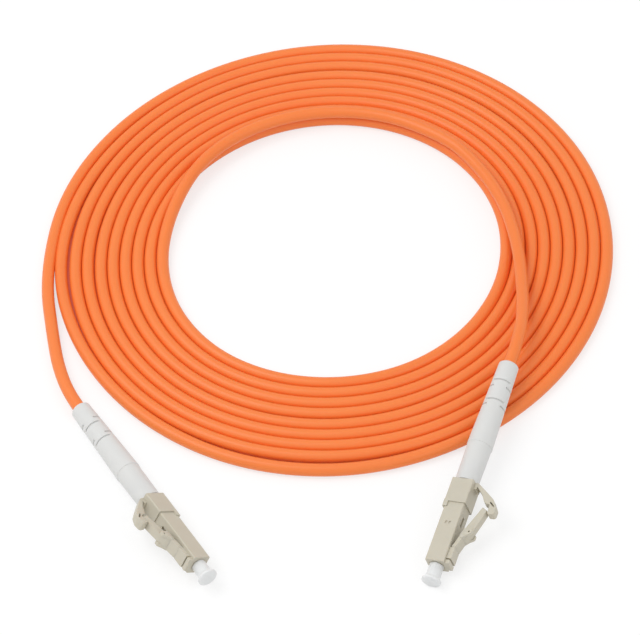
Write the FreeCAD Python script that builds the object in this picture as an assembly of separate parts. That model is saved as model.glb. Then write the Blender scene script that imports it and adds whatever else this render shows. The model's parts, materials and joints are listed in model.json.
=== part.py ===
import FreeCAD, Part
import math
import os

# Fiber optic patch cord: one orange simplex cable wound in a flat layer, with a latched plug at each end.
# Millimetres, +Z up. The origin is on the surface the cord lies on, midway between the two plugs.
# A plug is built in its own frame: +X out of its nose, +Z towards its latch, origin on the nose's front face.

V = FreeCAD.Vector

# Cable
CABLE_DIAMETER = 3.0
BUFFER_DIAMETER = 0.9
JACKET_WALL = 0.5
YARN_CLEARANCE = 0.02
LEAST_BEND_DIAMETERS = 5.0

# Coil: turns wind inwards and clockwise seen from above, each half turn one arc
COIL_CENTRE = V(11.6, 70.94, 0.0)
COIL_OUTER_RADIUS = 69.0
COIL_PITCH = 3.45
COIL_TURNS = 9
COIL_INNER_DRAW = 1.0
COIL_CHECK_STEP = 2.0
CORD_SIDES = 6
CORD_FLAT_DEPTH = 0.3
CORD_END_STRAIGHT = CABLE_DIAMETER
ARC_SHARE = 0.45

# Square nose housing
HOUSING_WIDTH = 4.5
HOUSING_LENGTH = 17.5
HOUSING_EDGE_ROUND = 0.25
NOSE_BORE_DIAMETER = 2.9
NOSE_LENGTH = 4.0
CHAMBER_WIDTH = 3.4
WINDOW_CENTRE = 9.9
WINDOW_LENGTH = 0.9
WINDOW_WIDTH = 1.5
LATCH_FACE_SLOT_CENTRE = 11.5
LATCH_FACE_SLOT_LENGTH = 2.4
LATCH_FACE_SLOT_WIDTH = 0.9

# Six-sided bars: the flange and the crimp ring
BAR_SIDES = 6

# Ferrule group
FERRULE_DIAMETER = 1.25
FERRULE_LENGTH = 6.8
FERRULE_PROUD = 1.8
FERRULE_TIP_CHAMFER = 0.2
FERRULE_TRAVEL = 1.0
SEAT_GAP = 0.02
FLANGE_LENGTH = 1.55
FLANGE_STOP_GAP = 0.05
FLANGE_SLIDE_GAP = 0.05
FLANGE_TAIL_DIAMETER = 1.9
FLANGE_TAIL_LENGTH = 6.4
FIBRE_GAP = 0.05

# Spring
SPRING_WIRE = 0.35
SPRING_WIRE_SIDES = 4
SPRING_MEAN_DIAMETER = 2.5
SPRING_TURNS = 4
SPRING_SEAT_GAP = 0.03

# Rear body, which closes the housing and carries the crimp
REAR_BODY_FIT = 0.02
REAR_BODY_COLLAR_DIAMETER = 3.5
SPRING_POCKET_DIAMETER = 2.95
SPRING_POCKET_FRONT = 9.0
SPRING_POCKET_DEPTH = 2.1
TAIL_ROOM_DIAMETER = 2.1
TAIL_ROOM_DEPTH = 2.6
REAR_BODY_COLLAR_LENGTH = 1.5
REAR_BODY_REAR = HOUSING_LENGTH + REAR_BODY_COLLAR_LENGTH
CRIMP_NECK_DIAMETER = 2.7
CRIMP_NECK_LENGTH = 6.0
SNAP_LUG_HEIGHT = 0.3

# Crimp ring and yarn
YARN_THICKNESS = 0.23
CRIMP_RING_GAP = 0.02
CRIMP_RING_WALL = 0.28
CRIMP_RING_LENGTH = 7.6
CRIMP_RING_SETBACK = 0.3

# Rear clip
CLIP_FIT = 0.05
CLIP_WALL = 0.3
CLIP_WIDTH = HOUSING_WIDTH + 2 * (CLIP_FIT + CLIP_WALL)
CLIP_FRONT = 15.2
CLIP_REAR = 21.4
CLIP_EDGE_ROUND = 0.3
CLIP_BORE_GAP = 0.1
CLIP_LIP_LENGTH = 1.3
CLIP_LIP_PROUD = 0.2
CLIP_LIP_WRAP = 1.0

# Latch, carried by a root at the nose
LATCH_ROOT_FRONT = 1.0
LATCH_HINGE_X = 4.2
LATCH_ROOT_HEIGHT = 1.15
LATCH_THICKNESS = 0.9
LATCH_PLATE_WIDTH = 3.2
LATCH_ARM_WIDTH = 2.0
LATCH_ARM_RISE = 0.85
LATCH_ARM_DROP = 0.75
LATCH_BEND_X = 9.3
LATCH_PLATE_SLOPE = 17.0
LATCH_ARM_SLOPE = 22.0
LATCH_SHELF_X = 14.6
LATCH_REAR_X = 15.6
LATCH_LUG_FRONT = 6.9
LATCH_LUG_TOP = 8.4
LATCH_LUG_REAR = 9.4
LATCH_LUG_HEIGHT = 1.0
LATCH_LUG_WIDTH = 0.8
LATCH_LUG_SPAN = 3.6
LIVING_HINGE_GAP = 0.12

# Trigger, carried by a root at the clip's rear
TRIGGER_ROOT_FRONT = 19.8
TRIGGER_ROOT_HEIGHT = 0.7
TRIGGER_WIDTH = 2.3
TRIGGER_THICKNESS = 0.95
TRIGGER_PAD_THICKNESS = 1.4
TRIGGER_TIP_X = 14.4
TRIGGER_TIP_BEVEL = 0.4
TRIGGER_TIP_GAP = 0.15
TRIGGER_TOP_REAR = 15.9
TRIGGER_UNDERSIDE_REAR = 16.95
TRIGGER_INNER_ELBOW_X = 17.4
TRIGGER_INNER_ELBOW_DROP = 1.35
TRIGGER_OUTER_ELBOW_X = 17.9
TRIGGER_OUTER_ELBOW_DROP = 1.5

# Boot
BOOT_CLIP_GAP = 0.1
BOOT_REAR = 54.3
BOOT_FRONT_DIAMETER = 5.5
BOOT_WIDEST_DIAMETER = 6.0
BOOT_REAR_DIAMETER = 4.7
BOOT_STEP_FROM_REAR = 22.8
BOOT_STEP = 0.12
BOOT_RIM_CHAMFER = 0.35
BOOT_BORE_GAP = 0.05
BOOT_RING_GAP = 0.1
BOOT_SLOT_WIDTH = 0.55
BOOT_SLOT_FLOOR = 1.75
BOOT_SLOT_ROWS = (4.9, 6.7, 10.5, 12.1)

# Dust cap
CAP_NECK_DIAMETER = 3.3
CAP_RIM_DIAMETER = 4.6
CAP_LENGTH = 4.4
CAP_RIM_LENGTH = 0.5
CAP_FLARE_LENGTH = 1.1
CAP_FACE_GAP = 0.12
CAP_SLEEVE_DIAMETER = 2.4
CAP_SLEEVE_LENGTH = 3.0
CAP_BORE_GAP = 0.03
CAP_TIP_ROOM = 0.6

# How far the left plug's trigger is down as the cord lies, in degrees, and the latch's share of that turn
LEFT_TRIGGER_DOWN = 10.5
LATCH_SHARE = 0.5

# How the plugs lie, measured from the coil's centre: nose point, heading, then roll about the plug's own axis
LEFT_NOSE = V(-35.8, -90.5, 0.0)
LEFT_HEADING = -61.8
LEFT_ROLL = 36.0
LEFT_LATCH_SIDE = -1
RIGHT_NOSE = V(16.6, -95.2, 0.0)
RIGHT_HEADING = -113.5
RIGHT_PITCH = -5.8
RIGHT_ROLL = 13.4
RIGHT_LATCH_SIDE = 1

# Free stretches of the cable, from the coil's centre: points between the coil's end and the boot
LEFT_EXIT_RUN = 5.0
LEFT_ROUTE = (
    (-69.0, -10.5, 1.2),
    (-68.0, -20.5, 1.5),
    (-66.3, -30.0, 2.0),
)
RIGHT_EXIT_RUN = 7.0
RIGHT_ROUTE = (
    (-36.95, 8.5, 1.2),
    (-34.0, 17.4, 2.6),
    (-29.3, 26.4, 4.4),
    (-21.9, 34.6, 4.7),
    (-11.4, 40.8, 4.65),
    (1.5, 43.1, 4.6),
    (15.0, 40.8, 4.65),
    (27.3, 33.3, 4.6),
    (36.8, 22.2, 4.65),
    (42.6, 9.0, 4.6),
    (44.6, -5.5, 4.7),
    (44.2, -19.5, 5.6),
    (43.0, -31.0, 7.6),
)


def tube(outer_radius, inner_radius, rear, front):
    """A round tube along the plug's X axis between two stations."""
    length = front - rear
    body = Part.makeCylinder(outer_radius, length, V(rear, 0, 0), V(1, 0, 0))
    if inner_radius <= 0:
        return body
    return body.cut(Part.makeCylinder(inner_radius, length, V(rear, 0, 0), V(1, 0, 0)))


def revolve(profile):
    """A solid turned about the plug's X axis from (station, radius) points."""
    points = [V(x, 0, r) for x, r in profile]
    face = Part.Face(Part.makePolygon(points + [points[0]]))
    return face.revolve(V(0, 0, 0), V(1, 0, 0), 360)


def square_bar(width, rear, front, edge_round=0.0):
    """A square bar centred on the plug's axis, with its long edges rounded."""
    bar = Part.makeBox(front - rear, width, width, V(rear, -width / 2, -width / 2))
    if edge_round <= 0:
        return bar
    long_edges = [e for e in bar.Edges if abs(e.tangentAt(e.FirstParameter).x) > 0.99]
    return bar.makeFillet(edge_round, long_edges)


def six_sided_bar(corner_radius, rear, front):
    """A six-sided bar along the plug's X axis."""
    corners = []
    for number in range(BAR_SIDES + 1):
        angle = 2 * math.pi * number / BAR_SIDES
        corners.append(V(rear, corner_radius * math.cos(angle), corner_radius * math.sin(angle)))
    return Part.Face(Part.makePolygon(corners)).extrude(V(front - rear, 0, 0))


def block(rear, front, width, low, high):
    """A box centred across the plug, between two stations and two heights."""
    return Part.makeBox(front - rear, width, high - low, V(rear, -width / 2, low))


def extrude_across(edges, width):
    """A side profile, drawn in the plug's XZ plane, extruded evenly to both sides."""
    face = Part.Face(Part.Wire(edges))
    face.translate(V(0, -width / 2, 0))
    return face.extrude(V(0, width, 0))


def polygon_edges(points):
    """Straight edges through side-profile points, closed."""
    ring = [V(x, 0, z) for x, z in points]
    return [Part.LineSegment(a, b).toShape() for a, b in zip(ring, ring[1:] + ring[:1])]


def top_front_edges(solid):
    """The upper edge across the front of a block."""
    box = solid.BoundBox
    corner = V(box.XMax, 0, box.ZMax)
    return [e for e in solid.Edges if (e.CenterOfMass - corner).Length < 1e-6]


def make_front_housing():
    """Square nose with its bores, snap windows, latch-face slot and the latch's root."""
    half = HOUSING_WIDTH / 2
    body = square_bar(HOUSING_WIDTH, -HOUSING_LENGTH, 0, HOUSING_EDGE_ROUND)
    root_rear = -LATCH_HINGE_X + LIVING_HINGE_GAP / 2
    root = block(root_rear, -LATCH_ROOT_FRONT, LATCH_PLATE_WIDTH, half - HOUSING_EDGE_ROUND,
                 half + LATCH_ROOT_HEIGHT)
    root = root.makeChamfer(LATCH_ROOT_HEIGHT / 3, top_front_edges(root))
    body = body.fuse(root).removeSplitter()
    body = body.cut(tube(NOSE_BORE_DIAMETER / 2, 0, -NOSE_LENGTH, 0))
    body = body.cut(square_bar(CHAMBER_WIDTH, -HOUSING_LENGTH, -NOSE_LENGTH))
    window = Part.makeBox(WINDOW_LENGTH, HOUSING_WIDTH, WINDOW_WIDTH,
                          V(-WINDOW_CENTRE - WINDOW_LENGTH / 2, -half, -WINDOW_WIDTH / 2))
    body = body.cut(window)
    slot_rear = -LATCH_FACE_SLOT_CENTRE - LATCH_FACE_SLOT_LENGTH / 2
    slot_front = slot_rear + LATCH_FACE_SLOT_LENGTH
    return body.cut(block(slot_rear, slot_front, LATCH_FACE_SLOT_WIDTH, CHAMBER_WIDTH / 2, half))


def latch_centreline(x):
    """Height of the latch's middle surface at a distance behind the nose."""
    start = HOUSING_WIDTH / 2 + LATCH_ROOT_HEIGHT - LATCH_THICKNESS / 2
    plate = math.tan(math.radians(LATCH_PLATE_SLOPE))
    arm = math.tan(math.radians(LATCH_ARM_SLOPE))
    bend = start + plate * (LATCH_BEND_X - LATCH_HINGE_X)
    if x <= LATCH_BEND_X:
        return start + plate * (x - LATCH_HINGE_X)
    return bend + arm * (x - LATCH_BEND_X)


def latch_plate():
    """The wide plate from the hinge to the lugs, bent a little at its end."""
    half = LATCH_THICKNESS / 2
    stations = [LATCH_HINGE_X + LIVING_HINGE_GAP / 2, LATCH_BEND_X, LATCH_LUG_REAR]
    upper = [(-x, latch_centreline(x) + half) for x in stations]
    lower = [(-x, latch_centreline(x) - half) for x in reversed(stations)]
    return extrude_across(polygon_edges(upper + lower), LATCH_PLATE_WIDTH)


def latch_arm():
    """The deep, narrow arm behind the lugs; its top runs level under the trigger's pad."""
    half = LATCH_THICKNESS / 2
    level = latch_centreline(LATCH_REAR_X) + half
    profile = [
        (-LATCH_LUG_TOP, latch_centreline(LATCH_LUG_TOP) - half),
        (-LATCH_LUG_TOP, latch_centreline(LATCH_LUG_TOP) + half),
        (-LATCH_LUG_REAR, latch_centreline(LATCH_LUG_REAR) + LATCH_ARM_RISE),
        (-LATCH_SHELF_X, level),
        (-LATCH_REAR_X, level),
        (-LATCH_REAR_X, latch_centreline(LATCH_REAR_X) - LATCH_ARM_DROP),
        (-LATCH_LUG_REAR, latch_centreline(LATCH_LUG_REAR) - LATCH_ARM_DROP),
    ]
    return extrude_across(polygon_edges(profile), LATCH_ARM_WIDTH)


def make_latch():
    """Latch: wide plate, two lugs that hold in the adapter, deep narrow arm to the trigger."""
    solid = latch_plate().fuse(latch_arm())
    half = LATCH_THICKNESS / 2
    top = latch_centreline(LATCH_LUG_TOP) + half + LATCH_LUG_HEIGHT
    lug_profile = [
        (-LATCH_LUG_FRONT, latch_centreline(LATCH_LUG_FRONT)),
        (-LATCH_LUG_FRONT, latch_centreline(LATCH_LUG_FRONT) + half),
        (-LATCH_LUG_TOP, top),
        (-LATCH_LUG_REAR, top),
        (-LATCH_LUG_REAR, latch_centreline(LATCH_LUG_REAR)),
    ]
    lug = extrude_across(polygon_edges(lug_profile), LATCH_LUG_WIDTH)
    for side in (-1, 1):
        placed = lug.copy()
        placed.translate(V(0, side * (LATCH_LUG_SPAN - LATCH_LUG_WIDTH) / 2, 0))
        solid = solid.fuse(placed)
    return solid.removeSplitter()


def lip_rear():
    return CLIP_FRONT + CLIP_LIP_LENGTH / 2


def make_rear_clip():
    """Square sleeve over the housing's rear, with a lip at its mouth and the trigger's root."""
    half = CLIP_WIDTH / 2
    body = square_bar(CLIP_WIDTH, -CLIP_REAR, -CLIP_FRONT, CLIP_EDGE_ROUND)
    root = block(-CLIP_REAR, -TRIGGER_ROOT_FRONT, TRIGGER_WIDTH, half - CLIP_EDGE_ROUND,
                 half + TRIGGER_ROOT_HEIGHT)
    body = body.fuse(root)
    lip_front = -CLIP_FRONT + CLIP_LIP_LENGTH
    lip = block(-lip_rear(), lip_front, CLIP_WIDTH, -half - CLIP_LIP_PROUD, -half + CLIP_LIP_WRAP)
    body = body.fuse(lip).removeSplitter()
    body = body.cut(square_bar(HOUSING_WIDTH + 2 * CLIP_FIT, -HOUSING_LENGTH - CLIP_FIT, lip_front))
    bore = crimp_ring_outer_radius() + CLIP_BORE_GAP
    return body.cut(tube(bore, 0, -CLIP_REAR, -HOUSING_LENGTH))


def trigger_hinge():
    """The living hinge's place at the front top of the trigger's root."""
    return V(-CLIP_REAR + TRIGGER_THICKNESS / 2, 0, CLIP_WIDTH / 2 + TRIGGER_ROOT_HEIGHT)


def latch_hinge():
    """The living hinge's place at the rear of the latch's root."""
    return V(-LATCH_HINGE_X, 0, HOUSING_WIDTH / 2 + LATCH_ROOT_HEIGHT - LATCH_THICKNESS / 2)


def make_trigger():
    """Bent arm from the clip's rear that thickens to a pad over the latch's end."""
    base = CLIP_WIDTH / 2 + TRIGGER_ROOT_HEIGHT + LIVING_HINGE_GAP
    underside = latch_centreline(LATCH_REAR_X) + LATCH_THICKNESS / 2 + TRIGGER_TIP_GAP
    top = underside + TRIGGER_PAD_THICKNESS
    profile = [
        (-CLIP_REAR, base),
        (-CLIP_REAR + TRIGGER_THICKNESS, base),
        (-TRIGGER_INNER_ELBOW_X, underside - TRIGGER_INNER_ELBOW_DROP),
        (-TRIGGER_UNDERSIDE_REAR, underside),
        (-TRIGGER_TIP_X, underside),
        (-TRIGGER_TIP_X, top - TRIGGER_TIP_BEVEL),
        (-TRIGGER_TIP_X - TRIGGER_TIP_BEVEL, top),
        (-TRIGGER_TOP_REAR, top),
        (-TRIGGER_OUTER_ELBOW_X, top - TRIGGER_OUTER_ELBOW_DROP),
    ]
    return extrude_across(polygon_edges(profile), TRIGGER_WIDTH)


def make_ferrule():
    """Ceramic ferrule with a chamfered tip."""
    radius = FERRULE_DIAMETER / 2
    rear = FERRULE_PROUD - FERRULE_LENGTH
    return revolve([
        (rear, 0),
        (rear, radius),
        (FERRULE_PROUD - FERRULE_TIP_CHAMFER, radius),
        (FERRULE_PROUD, radius - FERRULE_TIP_CHAMFER),
        (FERRULE_PROUD, 0),
    ])


def flange_front():
    return -NOSE_LENGTH - FLANGE_STOP_GAP


def make_ferrule_flange():
    """Six-sided flange that holds the ferrule and stops on the nose's shoulder, with a tail in the spring."""
    front = flange_front()
    rear = front - FLANGE_LENGTH
    tail_rear = rear - FLANGE_TAIL_LENGTH
    flange = six_sided_bar(CHAMBER_WIDTH / 2 - FLANGE_SLIDE_GAP, rear, front)
    flange = flange.fuse(tube(FLANGE_TAIL_DIAMETER / 2, 0, tail_rear, rear))
    ferrule_rear = FERRULE_PROUD - FERRULE_LENGTH
    flange = flange.cut(tube(FERRULE_DIAMETER / 2 + SEAT_GAP, 0, ferrule_rear - SEAT_GAP, front))
    return flange.cut(tube(BUFFER_DIAMETER / 2 + FIBRE_GAP, 0, tail_rear, ferrule_rear - SEAT_GAP))


def spring_span():
    """Front and rear of the wire's centre line, between the flange and the pocket's floor."""
    inset = SPRING_WIRE / 2 + SPRING_SEAT_GAP
    front = flange_front() - FLANGE_LENGTH - inset
    rear = -SPRING_POCKET_FRONT - SPRING_POCKET_DEPTH + inset
    return front, rear


def corner_arc(start, corner, end):
    """The tangent arc between two points at equal distance from a corner."""
    middle = (start + end) * 0.5
    leg = (corner - start).Length
    half_turn = math.pi / 2 - math.asin((middle - start).Length / leg)
    radius = leg / math.tan(half_turn)
    inward = (middle - corner).normalize()
    crown = corner + inward * (radius * (1 / math.cos(half_turn) - 1))
    return Part.Arc(start, crown, end).toShape(), radius


def biarc(start, start_way, end, end_way):
    """Two tangent arcs that leave one point and reach another in the given directions."""
    span = end - start
    ways = start_way + end_way
    a = ways.dot(ways) - 4
    b = -2 * span.dot(ways)
    leg = (-b - math.sqrt(b * b - 4 * a * span.dot(span))) / (2 * a)
    first = start + start_way * leg
    second = end - end_way * leg
    joint = (first + second) * 0.5
    return [corner_arc(start, first, joint)[0], corner_arc(joint, second, end)[0]]


def make_spring():
    """Wound compression spring, each half turn a pair of tangent arcs."""
    front, rear = spring_span()
    radius = SPRING_MEAN_DIAMETER / 2
    half_turns = SPRING_TURNS * 2
    advance = (rear - front) / (2 * math.pi * SPRING_TURNS)
    points = []
    ways = []
    for step in range(half_turns + 1):
        turn = step * math.pi
        points.append(V(front + advance * turn, radius * math.cos(turn), radius * math.sin(turn)))
        ways.append(V(advance, -radius * math.sin(turn), radius * math.cos(turn)).normalize())
    edges = []
    for step in range(half_turns):
        edges += biarc(points[step], ways[step], points[step + 1], ways[step + 1])
    outward = V(0, 1, 0)
    upward = ways[0].cross(outward)
    corners = []
    for number in range(SPRING_WIRE_SIDES + 1):
        angle = 2 * math.pi * number / SPRING_WIRE_SIDES
        reach = outward * math.cos(angle) + upward * math.sin(angle)
        corners.append(points[0] + reach * (SPRING_WIRE / 2))
    section = Part.makePolygon(corners)
    gap = (front - rear) / SPRING_TURNS - SPRING_WIRE
    print("spring: least gap between turns %.2f mm" % gap)
    return Part.Wire(edges).makePipeShell([section], True, False)


def make_rear_body():
    """Body that closes the housing: spring pocket, room for the flange's tail, snap lugs and a crimp neck."""
    front = -SPRING_POCKET_FRONT
    floor = front - SPRING_POCKET_DEPTH
    neck_rear = -REAR_BODY_REAR - CRIMP_NECK_LENGTH
    neck = CRIMP_NECK_DIAMETER / 2
    fibre = BUFFER_DIAMETER / 2 + FIBRE_GAP
    collar = REAR_BODY_COLLAR_DIAMETER / 2
    turned = revolve([
        (-HOUSING_LENGTH, fibre),
        (-HOUSING_LENGTH, collar),
        (-REAR_BODY_REAR, collar),
        (-REAR_BODY_REAR, neck),
        (neck_rear, neck),
        (neck_rear, fibre),
    ])
    width = CHAMBER_WIDTH - 2 * REAR_BODY_FIT
    body = square_bar(width, -HOUSING_LENGTH, front)
    body = body.cut(tube(SPRING_POCKET_DIAMETER / 2, 0, floor, front))
    body = body.cut(tube(TAIL_ROOM_DIAMETER / 2, 0, floor - TAIL_ROOM_DEPTH, floor))
    body = body.cut(tube(fibre, 0, -HOUSING_LENGTH, floor - TAIL_ROOM_DEPTH))
    lug_length = WINDOW_LENGTH - 2 * REAR_BODY_FIT
    lug_width = WINDOW_WIDTH - 2 * REAR_BODY_FIT
    lug_rear = -WINDOW_CENTRE - lug_length / 2
    for base in (width / 2, -width / 2 - SNAP_LUG_HEIGHT):
        place = V(lug_rear, base, -lug_width / 2)
        body = body.fuse(Part.makeBox(lug_length, SNAP_LUG_HEIGHT, lug_width, place))
    return body.fuse(turned).removeSplitter()


def crimp_ring_inner_radius():
    return CRIMP_NECK_DIAMETER / 2 + YARN_THICKNESS + CRIMP_RING_GAP + YARN_CLEARANCE


def crimp_ring_outer_radius():
    """Reach of the ring's corners."""
    return (crimp_ring_inner_radius() + CRIMP_RING_WALL) / math.cos(math.pi / BAR_SIDES)


def make_crimp_ring():
    """Metal ring squeezed to a six-sided bar round the yarn and the jacket's end."""
    front = -REAR_BODY_REAR - CRIMP_RING_SETBACK
    rear = front - CRIMP_RING_LENGTH
    ring = six_sided_bar(crimp_ring_outer_radius(), rear, front)
    return ring.cut(tube(crimp_ring_inner_radius(), 0, rear, front))


def jacket_front():
    return -REAR_BODY_REAR - CRIMP_NECK_LENGTH - CRIMP_RING_SETBACK


def make_aramid_yarn():
    """Strength yarn: spread over the crimp neck, then inside the jacket's last stretch."""
    inner = CRIMP_NECK_DIAMETER / 2 + YARN_CLEARANCE
    front = -REAR_BODY_REAR - CRIMP_RING_SETBACK
    jacket_bore = CABLE_DIAMETER / 2 - JACKET_WALL - YARN_CLEARANCE
    neck_rear = -REAR_BODY_REAR - CRIMP_NECK_LENGTH
    fibre = BUFFER_DIAMETER / 2 + YARN_CLEARANCE
    return revolve([
        (front, inner),
        (front, inner + YARN_THICKNESS),
        (jacket_front() + YARN_CLEARANCE, inner + YARN_THICKNESS),
        (jacket_front() + YARN_CLEARANCE, jacket_bore),
        (-BOOT_REAR, jacket_bore),
        (-BOOT_REAR, fibre),
        (neck_rear - YARN_CLEARANCE, fibre),
        (neck_rear - YARN_CLEARANCE, inner),
    ])


def make_buffered_fibre():
    """Coated fiber from the cable to the ferrule flange, short of it by the ferrule's travel."""
    front = FERRULE_PROUD - FERRULE_LENGTH - FERRULE_TRAVEL - SEAT_GAP - FIBRE_GAP
    return tube(BUFFER_DIAMETER / 2, 0, -BOOT_REAR, front)


def make_jacket_end():
    """The last straight stretch of cable jacket, inside the boot."""
    return tube(CABLE_DIAMETER / 2, CABLE_DIAMETER / 2 - JACKET_WALL, -BOOT_REAR, jacket_front())


def make_boot():
    """Long bend relief: tapered body with a parting step, rounded rim and alternating slots."""
    front = -CLIP_REAR - BOOT_CLIP_GAP
    step = -BOOT_REAR + BOOT_STEP_FROM_REAR
    ring_room = crimp_ring_outer_radius() + BOOT_RING_GAP
    ring_rear = -REAR_BODY_REAR - CRIMP_RING_SETBACK - CRIMP_RING_LENGTH - BOOT_RING_GAP
    bore = CABLE_DIAMETER / 2 + BOOT_BORE_GAP
    rim = BOOT_REAR_DIAMETER / 2
    solid = revolve([
        (front, ring_room),
        (front, BOOT_FRONT_DIAMETER / 2),
        (step, BOOT_WIDEST_DIAMETER / 2 - BOOT_STEP),
        (step, BOOT_WIDEST_DIAMETER / 2),
        (-BOOT_REAR + BOOT_RIM_CHAMFER, rim),
        (-BOOT_REAR, rim - BOOT_RIM_CHAMFER),
        (-BOOT_REAR, bore),
        (ring_rear, bore),
        (ring_rear, ring_room),
    ])
    for row, distance in enumerate(BOOT_SLOT_ROWS):
        station = -BOOT_REAR + distance
        for turn in (0, 180):
            slot = block(station, station + BOOT_SLOT_WIDTH, BOOT_WIDEST_DIAMETER, BOOT_SLOT_FLOOR,
                         BOOT_WIDEST_DIAMETER)
            slot.rotate(V(0, 0, 0), V(1, 0, 0), turn + (90 if row % 2 == 0 else 0))
            solid = solid.cut(slot)
    return solid


def make_dust_cap():
    """Translucent cap: sleeve over the ferrule, neck and flared rim."""
    bore = FERRULE_DIAMETER / 2 + CAP_BORE_GAP
    sleeve = CAP_SLEEVE_DIAMETER / 2
    neck = CAP_NECK_DIAMETER / 2
    rim = CAP_RIM_DIAMETER / 2
    return revolve([
        (-CAP_SLEEVE_LENGTH, bore),
        (-CAP_SLEEVE_LENGTH, sleeve),
        (CAP_FACE_GAP, sleeve),
        (CAP_FACE_GAP, neck),
        (CAP_LENGTH - CAP_RIM_LENGTH - CAP_FLARE_LENGTH, neck),
        (CAP_LENGTH - CAP_RIM_LENGTH, rim),
        (CAP_LENGTH, rim),
        (CAP_LENGTH, 0),
        (FERRULE_PROUD + CAP_TIP_ROOM, 0),
        (FERRULE_PROUD + CAP_TIP_ROOM, bore),
    ])


PLUG_PIECES = {
    "dust_cap": make_dust_cap,
    "ferrule": make_ferrule,
    "ferrule_flange": make_ferrule_flange,
    "spring": make_spring,
    "front_housing": make_front_housing,
    "latch": make_latch,
    "rear_clip": make_rear_clip,
    "trigger": make_trigger,
    "rear_body": make_rear_body,
    "crimp_ring": make_crimp_ring,
    "aramid_yarn": make_aramid_yarn,
    "buffered_fibre": make_buffered_fibre,
    "jacket_end": make_jacket_end,
    "boot": make_boot,
}


def pressed(piece, hinge, degrees):
    """A copy of a piece turned about a hinge across the plug; a positive turn lowers the part ahead of it."""
    turned = piece.copy()
    turned.rotate(hinge, V(0, 1, 0), degrees)
    return turned


def lip_reach():
    """How far the lip's lower corner reaches below the left plug's axis."""
    roll = math.radians(LEFT_ROLL)
    half = CLIP_WIDTH / 2
    return (half + CLIP_LIP_PROUD) * math.sin(roll) + half * math.cos(roll)


def left_pitch():
    """The left plug lies on its lip's lower corner and on its boot's rim."""
    drop = lip_reach() - BOOT_REAR_DIAMETER / 2
    return math.degrees(math.atan(drop / (BOOT_REAR - BOOT_RIM_CHAMFER - lip_rear())))


def left_height():
    """Height of the left nose above the surface."""
    pitch = math.radians(left_pitch())
    return lip_reach() * math.cos(pitch) + lip_rear() * math.sin(pitch)


def right_height():
    """Height of the right nose, whose dust cap's rim touches the surface."""
    pitch = math.radians(-RIGHT_PITCH)
    return CAP_RIM_DIAMETER / 2 * math.cos(pitch) + CAP_LENGTH * math.sin(pitch)


def plug_axes(heading, pitch, roll, latch_side):
    """The plug's own X, Y and Z directions in the part's frame."""
    heading, pitch, roll = (math.radians(angle) for angle in (heading, pitch, roll))
    ahead = V(math.cos(heading) * math.cos(pitch), math.sin(heading) * math.cos(pitch), math.sin(pitch))
    side = V(0, 0, 1).cross(ahead).normalize()
    up = ahead.cross(side)
    latch = side * (latch_side * math.cos(roll)) + up * math.sin(roll)
    return ahead, latch.cross(ahead), latch


def plug_matrix(nose, axes):
    """The matrix that puts a plug's piece in its place."""
    x, y, z = axes
    return FreeCAD.Matrix(x.x, y.x, z.x, nose.x, x.y, y.y, z.y, nose.y, x.z, y.z, z.z, nose.z, 0, 0, 0, 1)


LEFT_AXES = plug_axes(LEFT_HEADING, left_pitch(), LEFT_ROLL, LEFT_LATCH_SIDE)
RIGHT_AXES = plug_axes(RIGHT_HEADING, RIGHT_PITCH, RIGHT_ROLL, RIGHT_LATCH_SIDE)
LEFT_PLUG_NOSE = COIL_CENTRE + LEFT_NOSE + V(0, 0, left_height())
RIGHT_PLUG_NOSE = COIL_CENTRE + RIGHT_NOSE + V(0, 0, right_height())


def cord_height():
    return CABLE_DIAMETER / 2 - CORD_FLAT_DEPTH


def coil_half_turns():
    """Each half turn's number, arc centre and radius, outermost first, starting over the far side."""
    quarter = COIL_PITCH / 4
    for half in range(2 * COIL_TURNS):
        centre = V(-quarter if half % 2 == 0 else quarter, 0, 0)
        yield half, centre, COIL_OUTER_RADIUS - quarter - half * COIL_PITCH / 2


def coil_outer_end():
    return V(-COIL_OUTER_RADIUS, -CORD_END_STRAIGHT, 0)


def coil_inner_end():
    left = COIL_OUTER_RADIUS - COIL_TURNS * COIL_PITCH - COIL_INNER_DRAW
    return V(-left, CORD_END_STRAIGHT - COIL_INNER_DRAW, 0)


def coil_path():
    """The coil's centre line from the outer end to the inner end, drawn in a little in its last quarter."""
    lift = V(0, 0, cord_height())
    edges = [Part.LineSegment(coil_outer_end() + lift, V(-COIL_OUTER_RADIUS, 0, 0) + lift).toShape()]
    for half, centre, radius in coil_half_turns():
        side = 1 if half % 2 == 0 else -1
        start = centre + V(-side * radius, 0, 0)
        crown = centre + V(0, side * radius, 0)
        end = centre + V(side * radius, 0, 0)
        if half < 2 * COIL_TURNS - 1:
            edges.append(Part.Arc(start + lift, crown + lift, end + lift).toShape())
            continue
        diagonal = radius * math.sqrt(0.5)
        waypoint = centre + V(diagonal, -diagonal, 0)
        edges.append(Part.Arc(start + lift, waypoint + lift, crown + lift).toShape())
        radius -= COIL_INNER_DRAW
        centre = centre + V(0, -COIL_INNER_DRAW, 0)
        diagonal = radius * math.sqrt(0.5)
        end = centre + V(-radius, 0, 0)
        waypoint = centre + V(-diagonal, -diagonal, 0)
        edges.append(Part.Arc(crown + lift, waypoint + lift, end + lift).toShape())
        edges.append(Part.LineSegment(end + lift, coil_inner_end() + lift).toShape())
    return Part.Wire(edges)


def cord_section(place, way):
    """The faceted cable's outline across its path, with one side flat on the surface."""
    radius = CABLE_DIAMETER / 2
    up = V(0, 0, 1)
    side = way.cross(up)
    half_flat = math.acos(cord_height() / radius)
    step = 2 * (math.pi - half_flat) / (CORD_SIDES - 1)
    corners = []
    for number in range(CORD_SIDES):
        angle = half_flat + step * number
        corners.append(place + side * (radius * math.sin(angle)) - up * (radius * math.cos(angle)))
    return Part.makePolygon(corners + corners[:1])


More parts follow.
